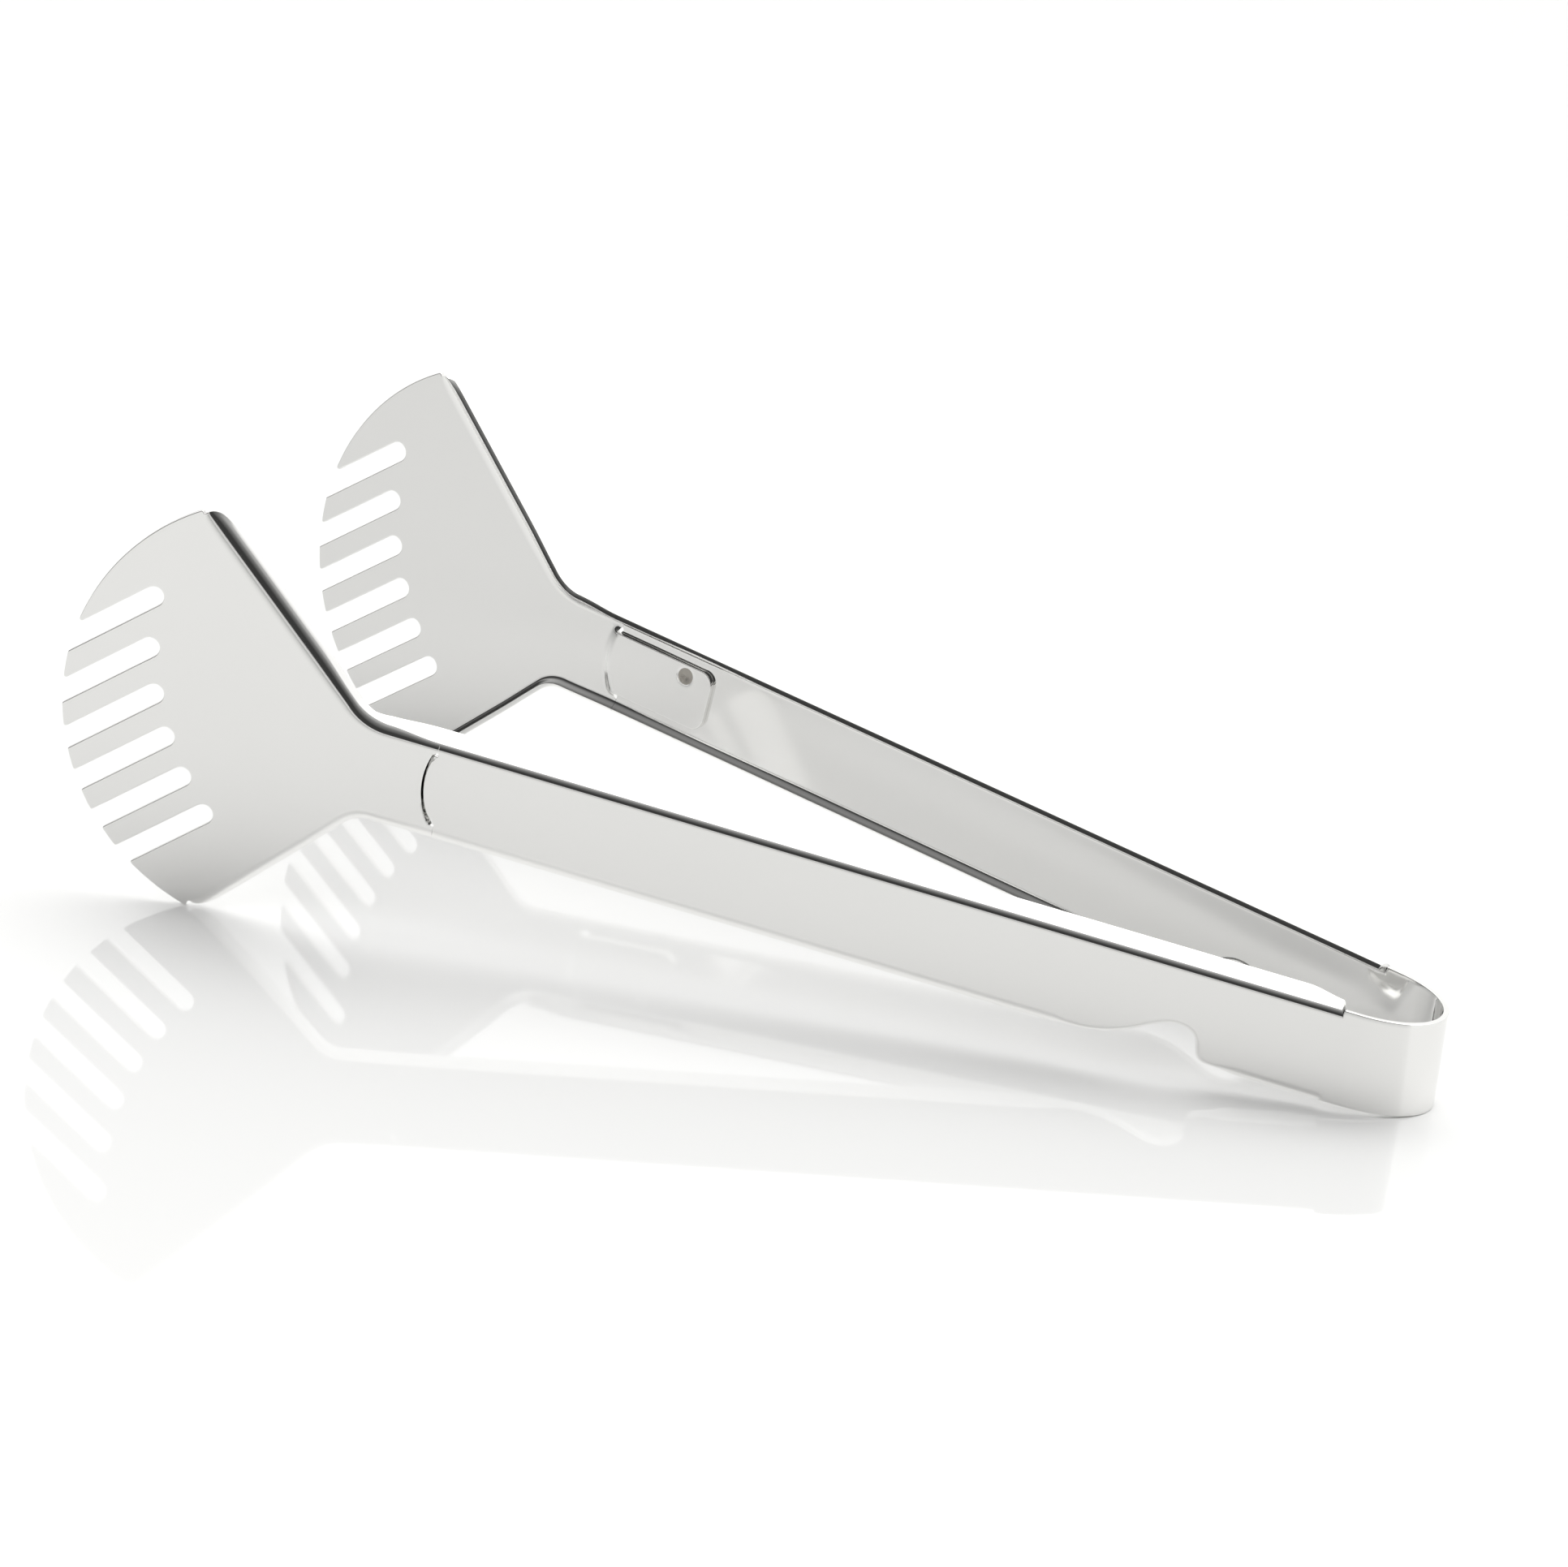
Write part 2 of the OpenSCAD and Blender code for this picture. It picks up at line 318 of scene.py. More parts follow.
# ---- sheet builder --------------------------------------------------------------


def fold(place, out, angle=BEND_ANGLE, length=FLANGE_UP, radius=BEND_R, base=0.0):
    """Outline point where the sheet is folded inward; out points away from the web."""
    return {"place": np.array(place, float), "out": unit(np.array(out, float)), "angle": angle,
            "length": length, "radius": radius, "base": base}


def plain(place, out):
    """Outline point on a plain rounded edge."""
    return fold(place, out, angle=0, length=EDGE_R, base=-EDGE_R)


def cut(place):
    """Outline point on a straight cut with sharp edges."""
    return {"place": np.array(place, float), "out": None}


def fold_profile(point):
    """Front and back of a folded edge, as pairs (outward, inward)."""
    angle, radius, base = point["angle"], point["radius"], point["base"]
    front = [np.array([-BAND, 0.0])]
    back = [np.array([-BAND, SHEET])]
    for step in range(ARC_STEPS + 1):
        turn = angle * step / ARC_STEPS
        front.append(np.array([base + radius * sin(turn), radius * (1 - cos(turn))]))
        inner = radius - SHEET
        back.append(np.array([base + inner * sin(turn), radius - inner * cos(turn)]))
    run = np.array([cos(angle), sin(angle)])
    inward = left_of(run)
    straight = max(point["length"] - EDGE_R, 0)
    front_end, back_end = front[-1], back[-1]
    for share in (0.5, 1):
        front.append(front_end + share * straight * run)
        back.append(back_end + share * straight * run)
    for step in range(1, TIP_STEPS + 1):
        turn = 90 * step / TIP_STEPS
        front.append(front_end + (straight + EDGE_R * sin(turn)) * run + EDGE_R * (1 - cos(turn)) * inward)
        back.append(back_end + (straight + EDGE_R * sin(turn)) * run - EDGE_R * (1 - cos(turn)) * inward)
    return front, back


class Skin:
    """Collects vertices and faces; points at one place become one vertex."""

    def __init__(self):
        self.index = {}
        self.points = []
        self.faces = []

    def vertex(self, place):
        key = tuple(round(float(c) / MM, 4) for c in place)
        if key not in self.index:
            self.index[key] = len(self.points)
            self.points.append([float(c) for c in place])
        return self.index[key]

    def face(self, corners):
        ring = [c for i, c in enumerate(corners) if c != corners[i - 1]]
        if len(ring) >= 3 and len(set(ring)) == len(ring):
            self.faces.append(ring)

    def make(self, name):
        mesh = bpy.data.meshes.new(name)
        mesh.from_pydata(self.points, [], self.faces)
        work = bmesh.new()
        work.from_mesh(mesh)
        bmesh.ops.recalc_face_normals(work, faces=work.faces)
        for face in work.faces:
            face.smooth = True
        for edge in work.edges:
            edge.smooth = edge.calc_face_angle(math.pi) < rad(SHARP_ANGLE)
        work.to_mesh(mesh)
        work.free()
        obj = bpy.data.objects.new(name, mesh)
        bpy.context.scene.collection.objects.link(obj)
        return obj


def clear_inside(points, loop, gap):
    """Those points that lie inside the loop and at least gap from it."""
    start = np.array(loop)
    end = np.roll(start, -1, axis=0)
    step = end - start
    kept = []
    for p in points:
        crossing = (start[:, 1] > p[1]) != (end[:, 1] > p[1])
        height = np.where(step[:, 1] == 0, 1e-9, step[:, 1])
        at = start[:, 0] + (p[1] - start[:, 1]) * step[:, 0] / height
        inside = np.count_nonzero(crossing & (at > p[0])) % 2 == 1
        share = np.clip(np.sum((p - start) * step, axis=1) / np.sum(step * step, axis=1), 0, 1)
        away = np.linalg.norm(start + share[:, None] * step - p, axis=1).min()
        if inside and away > gap:
            kept.append(p)
    return kept


def build_sheet(name, outline, place, inner_points, gap=0.7):
    """A closed sheet from a clockwise outline; place(a, z, n) bends it."""
    skin = Skin()
    columns = []
    for point in outline:
        if point["out"] is None:
            spot = point["place"]
            pairs = [(skin.vertex(place(*spot, 0)), skin.vertex(place(*spot, SHEET)))]
        else:
            front, back = fold_profile(point)
            spots = [point["place"] + q[0] * point["out"] for q in front]
            backs = [point["place"] + q[0] * point["out"] for q in back]
            pairs = [(skin.vertex(place(*s, f[1])), skin.vertex(place(*t, b[1])))
                     for s, t, f, b in zip(spots, backs, front, back)]
            spot = spots[0]
        columns.append((spot, pairs))
    for (_, here), (_, ahead) in zip(columns, columns[1:] + columns[:1]):
        if len(here) > 1 and len(ahead) > 1:
            down = [p[0] for p in here] + [p[1] for p in reversed(here)]
            up = [p[0] for p in ahead] + [p[1] for p in reversed(ahead)]
            for i in range(len(down) - 1):
                skin.face([down[i], down[i + 1], up[i + 1], up[i]])
            continue
        for side in (here, ahead):
            for (f0, b0), (f1, b1) in zip(side, side[1:]):
                skin.face([f0, f1, b1, b0])
        skin.face([here[0][0], ahead[0][0], ahead[0][1], here[0][1]])
    loop = [spot for spot, _ in columns]
    spots = loop + clear_inside(inner_points, loop, gap)
    count = len(loop)
    rim = [(i, (i + 1) % count) for i in range(count)]
    _, _, triangles, origins, _, _ = delaunay_2d_cdt([Vector(p) for p in spots], rim, [], 1, 1e-5)
    pairs = [column[1][0] for column in columns]
    pairs += [(skin.vertex(place(*p, 0)), skin.vertex(place(*p, SHEET))) for p in spots[count:]]
    for triangle in triangles:
        sources = [origins[v][0] for v in triangle]
        skin.face([pairs[s][0] for s in sources])
        skin.face([pairs[s][1] for s in reversed(sources)])
    return skin.make(name)


def steps(start, end, size):
    """Evenly spaced values from start to end, about size apart, without the end."""
    count = max(1, round(abs(end - start) / size))
    return [start + (end - start) * i / count for i in range(count)]


# ---- strip ----------------------------------------------------------------------


def seam_ring(offset, z):
    """Place along the arm of the seam arc, moved outward by offset, at height z."""
    return SEAM_AT - SEAM_R + math.sqrt((SEAM_R + offset) ** 2 - (z - SEAM_RISE) ** 2)


def bezier(start, first, second, end, share):
    """Point and direction on a cubic curve."""
    rest = 1 - share
    p = [np.array(q, float) for q in (start, first, second, end)]
    here = rest**3 * p[0] + 3 * rest**2 * share * p[1] + 3 * rest * share**2 * p[2] + share**3 * p[3]
    heading = rest**2 * (p[1] - p[0]) + 2 * rest * share * (p[2] - p[1]) + share**2 * (p[3] - p[2])
    return here, unit(heading)


def notch_curves():
    """Edge of the notch and its points: hook corner, hook wall and the long slope down."""
    low, shelf, top = -RIM_DOWN, NOTCH_SHELF - RIM_DOWN, NOTCH_DEPTH - RIM_DOWN
    corner = ([NOTCH_START, low], [NOTCH_WALL - HOOK_CORNER, low],
              [NOTCH_WALL - HOOK_BULGE, shelf - HOOK_REACH], [NOTCH_WALL, shelf])
    wall = ([NOTCH_WALL, shelf], [NOTCH_WALL + HOOK_BULGE, shelf + HOOK_REACH],
            [NOTCH_WALL + 1.5 * HOOK_BULGE, top], [NOTCH_PEAK, top])
    slope = ([NOTCH_PEAK, top], [NOTCH_PEAK + SLOPE_START, top],
             [NOTCH_END - SLOPE_FINISH, low], [NOTCH_END, low])
    return zip((corner, wall, slope), NOTCH_COUNTS)


def notch_points():
    """Outline points of the notch with its turned-in lip."""
    points = []
    for curve, count in notch_curves():
        for i in range(count):
            here, heading = bezier(*curve, i / count)
            out = -left_of(heading)
            points.append(fold(here - LIP_EXTENT * out, out, LIP_ANGLE, LIP_LENGTH, LIP_R))
    return points


def flange_growth(a, rim, full):
    """Length of a flange where it rises out of the plain rim of the bow."""
    grown = full * mix(FLANGE_AT_START, 1.0, smooth((a - FLANGE_START) / FLANGE_RUN))
    return mix(rim, grown, smooth((a - FLANGE_START) / FLANGE_STEP))


def upper_point(a):
    """Upper edge: plain at the bow, flanged along the arm."""
    angle = BEND_ANGLE * smooth((a - FLANGE_START) / FLANGE_TWIST)
    length = flange_growth(a, RIM_UP - WEB_HALF, FLANGE_UP)
    return fold([a, WEB_HALF], [0, 1], angle, length)


def lower_point(a):
    """Lower edge away from the notch: plain at the bow, flanged along the arm, a lip at the notch."""
    angle = DOWN_ANGLE * smooth((a - FLANGE_START) / FLANGE_TWIST)
    length = flange_growth(a, RIM_DOWN - WEB_HALF, FLANGE_DOWN)
    gap = NOTCH_START - a if a < NOTCH_PEAK else a - NOTCH_END
    lip = 1 - smooth(gap / LIP_FADE)
    height = mix(-WEB_HALF, LIP_EXTENT - RIM_DOWN, lip)
    return fold([a, height], [0, -1], mix(angle, LIP_ANGLE, lip),
                mix(length, LIP_LENGTH, lip), mix(DOWN_R, LIP_R, lip))


def bow_steps():
    """Places along the bow from the apex to where the flanges start, finest at the apex."""
    return [APEX, APEX + 0.15, APEX + 0.45] + steps(APEX + 0.9, FLANGE_START, BOW_STEP)


def strip_outline():
    """Outline of one half of the strip, and the heights of the rows of points in its web."""
    web_edge = WEB_HALF - WEB_MARGIN
    web_rows = steps(web_edge, -web_edge, WEB_STEP) + [-web_edge]
    fine_end = FLANGE_START + FLANGE_FINE
    rise = bow_steps() + steps(FLANGE_START, fine_end, RISE_STEP)
    rise += steps(fine_end, FLANGE_SETTLED, SETTLE_STEP)
    top = rise + steps(FLANGE_SETTLED, seam_ring(0, WEB_HALF), ARM_STEP) + [seam_ring(0, WEB_HALF)]
    lip_start, lip_end = NOTCH_START - LIP_FADE, NOTCH_END + LIP_FADE
    bow_side = rise + steps(FLANGE_SETTLED, lip_start, EDGE_STEP) + steps(lip_start, NOTCH_START, LIP_STEP)
    head_side = steps(NOTCH_END, lip_end, LIP_STEP) + steps(lip_end, SEAM_AT - ARM_STEP, ARM_STEP)
    head_side.append(seam_ring(0, -WEB_HALF))
    outline = [upper_point(a) for a in top]
    for z in web_rows:
        wedge = SEAM_WEDGE * smooth((abs(z) - WEDGE_START) / WEDGE_RUN)
        outline.append(cut([seam_ring(-wedge, z), z]))
    lower = [lower_point(a) for a in bow_side] + notch_points() + [lower_point(a) for a in head_side]
    outline += lower[::-1]
    outline += [cut([APEX, z]) for z in reversed(web_rows)]
    return outline, web_rows


def strip(side, name):
    """Half the bow and one arm."""
    outline, rows = strip_outline()
    inner = [np.array([a, z]) for a in bow_steps()[1:] for z in rows]
    inner += [np.array([a, z]) for a in steps(FLANGE_START, ROWS_END, ROWS_STEP) for z in rows]
    return build_sheet(name, outline, lambda a, z, n: bent(side, a, z, n), inner, gap=0.12)


# ---- heads ----------------------------------------------------------------------


def rounded(points, radius):
    """The same line with every sharp corner turned into a small arc."""
    result = [points[0]]
    for before, here, after in zip(points, points[1:], points[2:]):
        arrive, leave = unit(here - before), unit(after - here)
        turn = math.degrees(math.acos(max(-1, min(1, float(arrive @ leave)))))
        if turn < CORNER_TURN:
            result.append(here)
            continue
        side = 1 if arrive @ left_of(leave) < 0 else -1
        start = here - radius * math.tan(rad(turn / 2)) * arrive
        spoke = side * radius * left_of(arrive)
        for share in (0, 0.25, 0.5, 0.75, 1):
            swing = side * turn * share
            swung = cos(swing) * spoke + sin(swing) * left_of(spoke)
            result.append(start + spoke - swung)
    return result + [points[-1]]


def plain_edge(points):
    """Plain outline points along a line, with the outline's outer side on its left."""
    result = []
    for i, here in enumerate(points):
        before, after = points[max(i - 1, 0)], points[min(i + 1, len(points) - 1)]
        result.append(plain(here, left_of(unit(after - before))))
    return result


def fan_point(angle):
    return FAN_MIDDLE + FAN_R * along(angle)


def slot_line(number):
    """Outline of one slot, from the fan edge in, round its end and out again."""
    across = SLOT_FIRST - number * SLOT_PITCH
    depth = math.sqrt(SLOT_ARC_R**2 - (across - SLOT_ARC_SHIFT) ** 2) - SLOT_ARC_BACK
    run, over = along(-SLOT_SLOPE), left_of(along(-SLOT_SLOPE))
    upper, lower = across + SLOT_W / 2, across - SLOT_W / 2
    mouth = [FAN_MIDDLE + s * over + math.sqrt(FAN_R**2 - s * s) * run for s in (upper, lower)]
    middle = FAN_MIDDLE + across * over + depth * run
    end = [middle + SLOT_W / 2 * (cos(t) * over - sin(t) * run) for t in range(0, 181, SLOT_TURN)]
    return [mouth[0]] + end + [mouth[1]]


def angle_at(point):
    offset = point - FAN_MIDDLE
    return math.degrees(math.atan2(offset[1], offset[0]))


def tooth_line():
    """Fan edge with its slots, from the upper ear tip to the lower one."""
    line = [fan_point(angle_at(UP_CORNER + EAR_TIP_UP * UP_OUT + UP_REACH * UP_DIR))]
    for number in range(SLOTS):
        slot = slot_line(number)
        line += [fan_point(t) for t in steps(angle_at(line[-1]), angle_at(slot[0]), FAN_TURN)[1:]]
        line += slot
    line += [fan_point(t) for t in steps(angle_at(line[-1]), angle_at(FOOT), FAN_TURN)[1:]]
    return line + [FOOT]


def ear_line(corner, direction, out, end, reach, tip):
    """Plain edge from the end of a rolled edge towards the ear tip."""
    return [corner + mix(end, reach, share) * direction + tip * share * out for share in (0.25, 0.5)]


def back_edge(corner, slope, sign, end, radius, flange, roll):
    """Folded edge from the seam, round the neck and along the sloping back edge, up to its end.

    flange is (angle, radius, straight length) of the neck; roll is the same of the sloping edge
    and how far the roll starts outside the corner line.
    """
    back = radius * math.tan(rad(slope / 2))
    seam = seam_ring(FLANGE_GAP, sign * WEB_HALF)
    bend = corner[0] - back
    flange_angle, flange_radius, flange_length = flange
    roll_angle, roll_radius, roll_length, roll_shift = roll

    def section(place, out, share, closing=1.0):
        """Section that goes from the arm's flange, at share 0, to the head's soft roll, at share 1.

        closing goes from 1 to 0 where the edge runs out.
        """
        length = mix(flange_length, roll_length, min(1.0, 2 * share)) * closing
        moved = np.array(place) + roll_shift * share * closing * np.array(out)
        angle = mix(flange_angle, roll_angle, share)
        return fold(moved, out, angle, max(length, EDGE_R), mix(flange_radius, roll_radius, share))

    points = [section([a, sign * WEB_HALF], [0, sign], NECK_SHARE * smooth((a - seam) / (bend - seam)))
              for a in steps(seam, bend, NECK_STEP)]
    centre = corner + np.array([-back, sign * radius])
    for turn in steps(0, slope, NECK_TURN):
        away = np.array([sin(turn), -sign * cos(turn)])
        points.append(section(centre + radius * away, -away, mix(NECK_SHARE, SLOPE_SHARE, turn / slope)))
    direction = along(sign * slope)
    out = sign * left_of(direction)
    for s in steps(back, end - END_ROUND, EDGE_STEP):
        share = mix(SLOPE_SHARE, 1, smooth((s - back) / ROLL_TAPER))
        points.append(section(corner + s * direction, out, share))
    for turn in range(0, 91, ROUND_TURN):
        at = end - END_ROUND + END_ROUND * sin(turn)
        curl = cos(turn) ** END_CURVE if turn < 90 else 0
        point = section(corner + at * direction, out, 1, curl)
        point["angle"] *= mix(END_ANGLE, 1, curl)
        point["radius"] *= mix(END_RADIUS, 1, curl)
        points.append(point)
    return points


def tab_line():
    """Edge of the tab, from the lower end of the seam round to the upper one."""
    left = SEAM_AT - TAB_LENGTH
    flat = TAB_HALF - TAB_CORNER
    turned = left + TAB_CORNER
    low_seam, high_seam = (seam_ring(SEAM_GAP, z) for z in (-TAB_HALF, TAB_HALF))
    turns = range(0, 91, ROUND_TURN)
    line = [np.array([a, -TAB_HALF]) for a in steps(low_seam, turned, TAB_STEP)]
    line += [np.array([turned, -flat]) - TAB_CORNER * np.array([sin(t), cos(t)]) for t in turns]
    line += [np.array([left, z]) for z in steps(-flat, flat, TAB_END_STEP)[1:]]
    line += [np.array([turned, flat]) - TAB_CORNER * np.array([cos(t), -sin(t)]) for t in turns]
    line += [np.array([a, TAB_HALF]) for a in steps(turned, high_seam, TAB_STEP)[1:]]
    return line + [np.array([high_seam, TAB_HALF])]


def head_outline():
    """Outline of a head: upper back edge, slotted fan edge, lower back edge and tab."""
    end_up, end_down = UP_REACH - EAR_UP, DOWN_REACH - EAR_DOWN
    outline = back_edge(UP_CORNER, SLOPE_UP, 1, end_up, NECK_R_UP, UP_SECTION, ROLL_UP)
    ear_up = ear_line(UP_CORNER, UP_DIR, UP_OUT, end_up, UP_REACH, EAR_TIP_UP)
    ear_down = ear_line(DOWN_CORNER, DOWN_DIR, DOWN_OUT, end_down, DOWN_REACH, EAR_TIP_DOWN)
    outline += plain_edge(rounded(ear_up + tooth_line() + ear_down[::-1], CORNER_R))
    outline += back_edge(DOWN_CORNER, SLOPE_DOWN, -1, end_down, NECK_R_DOWN, DOWN_SECTION, ROLL_DOWN)[::-1]
    outline += [cut([seam_ring(SEAM_GAP, -z), -z]) for z in reversed(TAB_CUTS)]
    outline += plain_edge(tab_line())
    return outline + [cut([seam_ring(SEAM_GAP, z), z]) for z in TAB_CUTS]


def head_depth(a, z, n):
    """Depth of a point of the head below the arm's outer face: the tab is stepped inward."""
    middle = SEAM_AT - SEAM_R
    ring = math.hypot(a - middle, z - SEAM_RISE) - SEAM_R
    fade = 1 - smooth((abs(z) - TAB_HALF) / TAB_FADE) if a < SEAM_AT + TAB_ZONE else 0
    front = (SHEET + TAB_PLAY) * (1 - between(ring, *STEP_FRONT)) * fade
    back = SHEET + SHEET * (1 - between(ring, *STEP_BACK)) * fade
    back -= dish(math.hypot(a - WELD_MIDDLE[0], z - WELD_MIDDLE[1]))
    return front + n * (back - front) / SHEET if n <= SHEET else back + n - SHEET


def dish(distance):
    """Depth of the spot weld's dimple at a distance from its middle."""
    return DISH_DEPTH * cos(90 * distance / DISH_R) ** 2 if distance < DISH_R else 0


def head(side, name):
    """Slotted plate with its tab; points lie close together round the step and the weld."""
    left, right, low, high = 206, 286, -48, 60
    inner = [np.array([a, z]) for a in steps(left, right, GRID_STEP) for z in steps(low, high, GRID_STEP)]
    for ring in (-1.2, -0.9, -0.6, -0.3, 0.0, 0.15, 0.3, 0.45, 0.6, 0.8, 1.1, 1.4, 1.7, 2.0, 2.4):
        inner += [np.array([seam_ring(ring, z), z]) for z in steps(-8, 8.1, 0.5)]
    inner += [WELD_MIDDLE]
    for distance in (0.4, 0.8, 1.2, 1.6, 2.0, 2.3, 2.6, 3.0):
        inner += [WELD_MIDDLE + distance * along(t) for t in steps(0, 360, DISH_TURN)]

    def place(a, z, n):
        return bent(side, a, z, head_depth(a, z, n))

    return build_sheet(name, head_outline(), place, inner, gap=0.22)


# ---- spot welds -----------------------------------------------------------------


def weld_spot(side, name):
    """Thin cap in the dimple: sunk in its middle, with a soft raised rim."""
    skin = Skin()
    radii = [0, 0.35, 0.7, 1.0, 1.25, 1.5, 1.7, 1.82, WELD_R]
    rings = []
    for radius in radii:
        share = radius / WELD_R
        crown = CAP_MIDDLE * (1 - share**4) + CAP_RIM * sin(180 * share) ** 2
        rings.append((radius, 2 * SHEET - dish(radius) + crown))
    rings += [(radius, 2 * SHEET - dish(radius) - CAP_ROOT) for radius in reversed(radii[:-1])]

    def corner(ring, turn):
        radius, depth = ring
        spot = WELD_MIDDLE + radius * along(turn)
        return skin.vertex(bent(side, spot[0], spot[1], depth))

    for inner, outer in zip(rings, rings[1:]):
        for turn in range(0, 360, CAP_TURN):
            ahead = turn + CAP_TURN
            skin.face([corner(inner, turn), corner(outer, turn), corner(outer, ahead), corner(inner, ahead)])
    return skin.make(name)


# ---- materials ------------------------------------------------------------------


def polished_steel(name, tone, dull, bright, grain=0.25, scale=900.0):
    """Mirror-polished sheet with faint cloudiness and fine buffing lines.

    dull and bright are the roughness of its cloudy and its clear places; grain and scale are
    how strong and how fine the buffing lines are.
    """
    material = bpy.data.materials.new(name)
    material.use_nodes = True
    nodes, links = material.node_tree.nodes, material.node_tree.links
    shader = nodes["Principled BSDF"]
    shader.inputs["Metallic"].default_value = 1.0
    place = nodes.new("ShaderNodeTexCoord")

    cloud = nodes.new("ShaderNodeTexNoise")
    cloud.inputs["Scale"].default_value = 34.0
    cloud.inputs["Detail"].default_value = 5.0
    links.new(place.outputs["Object"], cloud.inputs["Vector"])

    stretch = nodes.new("ShaderNodeMapping")
    stretch.inputs["Scale"].default_value = (0.06, 1.0, 1.0)
    links.new(place.outputs["Object"], stretch.inputs["Vector"])
    lines = nodes.new("ShaderNodeTexNoise")
    lines.inputs["Scale"].default_value = scale
    lines.inputs["Detail"].default_value = 3.0
    links.new(stretch.outputs["Vector"], lines.inputs["Vector"])

    haze = nodes.new("ShaderNodeMapRange")
    haze.inputs["From Min"].default_value = 0.3
    haze.inputs["From Max"].default_value = 0.75
    haze.inputs["To Min"].default_value = bright
    haze.inputs["To Max"].default_value = dull
    links.new(cloud.outputs["Fac"], haze.inputs["Value"])
    links.new(haze.outputs["Result"], shader.inputs["Roughness"])

    tint = nodes.new("ShaderNodeMix")
    tint.data_type = "RGBA"
    tint.inputs["A"].default_value = (*[c * 0.975 for c in tone], 1)
    tint.inputs["B"].default_value = (*tone, 1)
    links.new(cloud.outputs["Fac"], tint.inputs["Factor"])
    links.new(tint.outputs["Result"], shader.inputs["Base Color"])

    bump = nodes.new("ShaderNodeBump")
    bump.inputs["Strength"].default_value = grain
    bump.inputs["Distance"].default_value = 0.000004
    links.new(lines.outputs["Fac"], bump.inputs["Height"])
    links.new(bump.outputs["Normal"], shader.inputs["Normal"])
    return material


def weld_steel():
    """Pressed weld metal: browner, darker and rougher than the sheet."""
    return polished_steel("weld_steel", (0.36, 0.34, 0.31), 0.36, 0.2, grain=0.5, scale=2600.0)


def floor_material():
    """Glossy white board with faint unevenness."""
    material = bpy.data.materials.new("floor_white")
    material.use_nodes = True
    nodes, links = material.node_tree.nodes, material.node_tree.links
    shader = nodes["Principled BSDF"]
    shader.inputs["Base Color"].default_value = (0.93, 0.93, 0.925, 1)
    shader.inputs["IOR"].default_value = 1.38
    noise = nodes.new("ShaderNodeTexNoise")
    noise.inputs["Scale"].default_value = 6.0
    spread = nodes.new("ShaderNodeMapRange")
    spread.inputs["To Min"].default_value = 0.02
    spread.inputs["To Max"].default_value = 0.05
    links.new(noise.outputs["Fac"], spread.inputs["Value"])
    links.new(spread.outputs["Result"], shader.inputs["Roughness"])
    return material


# ---- studio ---------------------------------------------------------------------


ROOM_LIGHT = 1.2
OVERHEAD_LIGHT = 1.8
HORIZON_LIGHT = 0.6
WALL_LOW = 0.05
WALL_MIDDLE = 0.18
WALL_RISE = 0.35
BACKDROP_LIGHT = 1.05
LAMP_SIZE = 1.4
LAMP_POWER = 10.5
LAMP_PLACE = (-0.3, -1.2, 1.3)
FLOOR_HALF = 3.0


def world_light():
    """White room, brighter overhead, greyer along the horizon, with a dark wall in front.

    The wall gets lighter with height. The camera itself sees a plain white backdrop.
    """
    world = bpy.data.worlds.new("studio")
    world.use_nodes = True
    bpy.context.scene.world = world
    nodes, links = world.node_tree.nodes, world.node_tree.links
    nodes.clear()
    out = nodes.new("ShaderNodeOutputWorld")
    place = nodes.new("ShaderNodeTexCoord")

    def math_node(kind, first, second):
        node = nodes.new("ShaderNodeMath")
        node.operation = kind
        for socket, value in zip(node.inputs, (first, second)):
            if isinstance(value, (int, float)):
                socket.default_value = value
            else:
                links.new(value, socket)
        return node.outputs["Value"]

    def facing(direction):
        node = nodes.new("ShaderNodeVectorMath")
        node.operation = "DOT_PRODUCT"
        node.inputs[1].default_value = Vector(direction).normalized()
        links.new(place.outputs["Generated"], node.inputs[0])
        return node.outputs["Value"]

    def ramp(value, start, end, low, high):
        node = nodes.new("ShaderNodeMapRange")
        node.interpolation_type = "SMOOTHSTEP"
        links.new(value, node.inputs["Value"])
        for socket, number in (("From Min", start), ("From Max", end), ("To Min", low), ("To Max", high)):
            node.inputs[socket].default_value = number
        return node.outputs["Result"]

    height = facing((0, 0, 1))
    front = facing((-0.3, -1, 0))
    rise = math_node("ARCTAN2", height, front)
    wall_foot = ramp(rise, rad(2), rad(6), 0, 1)
    wall = math_node("MULTIPLY", wall_foot, ramp(rise, rad(88), rad(97), 1, 0))
    lower_wall = ramp(rise, rad(28), rad(60), WALL_LOW, WALL_MIDDLE)
    wall_level = math_node("ADD", lower_wall, ramp(rise, rad(55), rad(90), 0, WALL_RISE))
    overhead = ramp(height, sin(30), sin(60), 1, OVERHEAD_LIGHT)
    horizon = ramp(height, 0.0, sin(8), HORIZON_LIGHT, 1)
    level = math_node("MULTIPLY", math_node("MULTIPLY", overhead, horizon), ROOM_LIGHT)
    level = math_node("MULTIPLY", level, math_node("SUBTRACT", 1.0, wall))
    level = math_node("ADD", level, math_node("MULTIPLY", wall, wall_level))

    room = nodes.new("ShaderNodeBackground")
    room.inputs["Color"].default_value = (1, 1, 0.992, 1)
    links.new(level, room.inputs["Strength"])
    backdrop = nodes.new("ShaderNodeBackground")
    backdrop.inputs["Color"].default_value = (1, 1, 1, 1)
    backdrop.inputs["Strength"].default_value = BACKDROP_LIGHT
    seen = nodes.new("ShaderNodeLightPath")
    choose = nodes.new("ShaderNodeMixShader")
    links.new(seen.outputs["Is Camera Ray"], choose.inputs["Fac"])
    links.new(room.outputs["Background"], choose.inputs[1])
    links.new(backdrop.outputs["Background"], choose.inputs[2])
    links.new(choose.outputs["Shader"], out.inputs["Surface"])


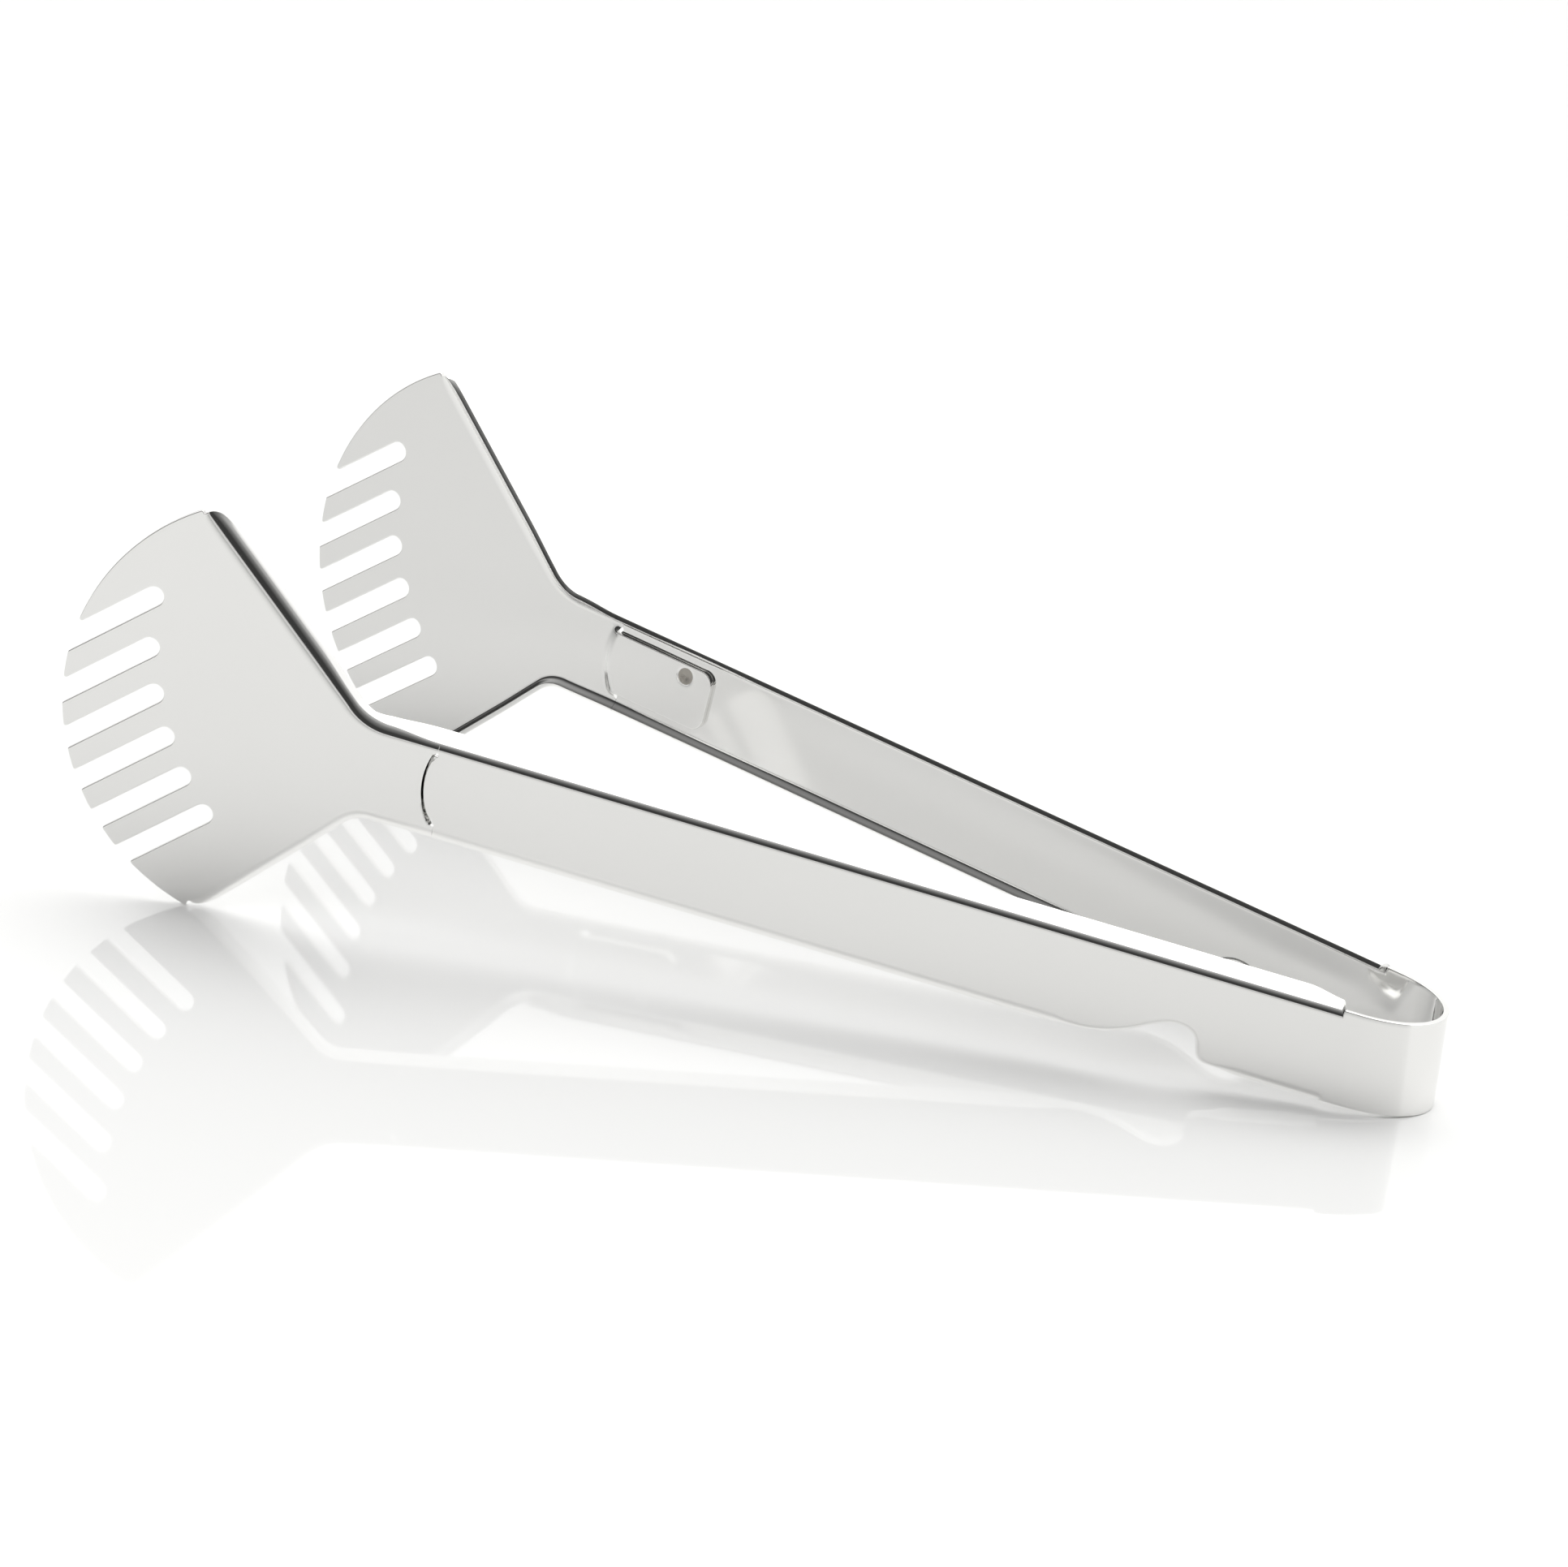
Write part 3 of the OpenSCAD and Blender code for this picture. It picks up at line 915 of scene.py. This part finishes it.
def floor():
    mesh = bpy.data.meshes.new("floor")
    signs = ((-1, -1), (1, -1), (1, 1), (-1, 1))
    mesh.from_pydata([(x * FLOOR_HALF, y * FLOOR_HALF, 0) for x, y in signs], [], [(0, 1, 2, 3)])
    board = bpy.data.objects.new("floor", mesh)
    bpy.context.scene.collection.objects.link(board)
    mesh.materials.append(floor_material())


def front_fill():
    """Big soft lamp above and in front of the tongs; it lights the floor but isn't mirrored."""
    data = bpy.data.lights.new("front_fill", "AREA")
    data.shape = "SQUARE"
    data.size = LAMP_SIZE
    data.energy = LAMP_POWER
    lamp = bpy.data.objects.new("front_fill", data)
    lamp.location = LAMP_PLACE
    lamp.rotation_euler = lamp.location.to_track_quat("Z", "Y").to_euler()
    lamp.visible_glossy = False
    lamp.visible_camera = False
    bpy.context.scene.collection.objects.link(lamp)


def camera():
    """Camera on a circle round the tongs: how far it has gone round, how high, how much it leans."""
    round_angle, elevation, lean = 18.9, 19.5, 7.2
    distance = 1.787
    aim = Vector((-4.6 * MM, -4.0 * MM, 38.1 * MM))
    data = bpy.data.cameras.new("camera")
    data.lens = 191.8
    data.sensor_width = 36.0
    data.clip_end = 20
    eye = bpy.data.objects.new("camera", data)
    turn = Euler((rad(90 - elevation), 0, rad(round_angle)), "XYZ").to_matrix()
    turn = turn @ Matrix.Rotation(rad(lean), 3, "Z")
    eye.matrix_world = Matrix.Translation(aim + distance * (turn @ Vector((0, 0, 1)))) @ turn.to_4x4()
    bpy.context.scene.collection.objects.link(eye)
    bpy.context.scene.camera = eye


# ---- put together ---------------------------------------------------------------

camera()
world_light()
front_fill()
floor()

STRIP_STEEL = polished_steel("strip_steel", (0.81, 0.807, 0.795), 0.10, 0.045)
HEAD_STEEL = polished_steel("head_steel", (0.815, 0.812, 0.8), 0.11, 0.05)
WELD_STEEL = weld_steel()

for side_name, side in (("near", -1), ("far", 1)):
    body = side_name + "_side"

    spring = strip(side, side_name + "_strip")
    spring.data.materials.append(STRIP_STEEL)
    apex = seat(BOW_REACH - SHEET, 0, 0)
    arm = seat(BOW_REACH * math.cos(BOW_TURN), side * BOW_HALF * math.sin(BOW_TURN), 0)
    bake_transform(spring)
    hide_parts(side_name + "_arm", "bow")

    plate = head(side, side_name + "_head_plate")
    plate.data.materials.append(HEAD_STEEL)
    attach(plate, body)
    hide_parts(side_name + "_head")

    spot = weld_spot(side, side_name + "_weld_spot")
    spot.data.materials.append(WELD_STEEL)
    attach(spot, body)
    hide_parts(side_name + "_weld")

bpy.context.scene.view_settings.view_transform = "Standard"

bpy.context.view_layer.update()
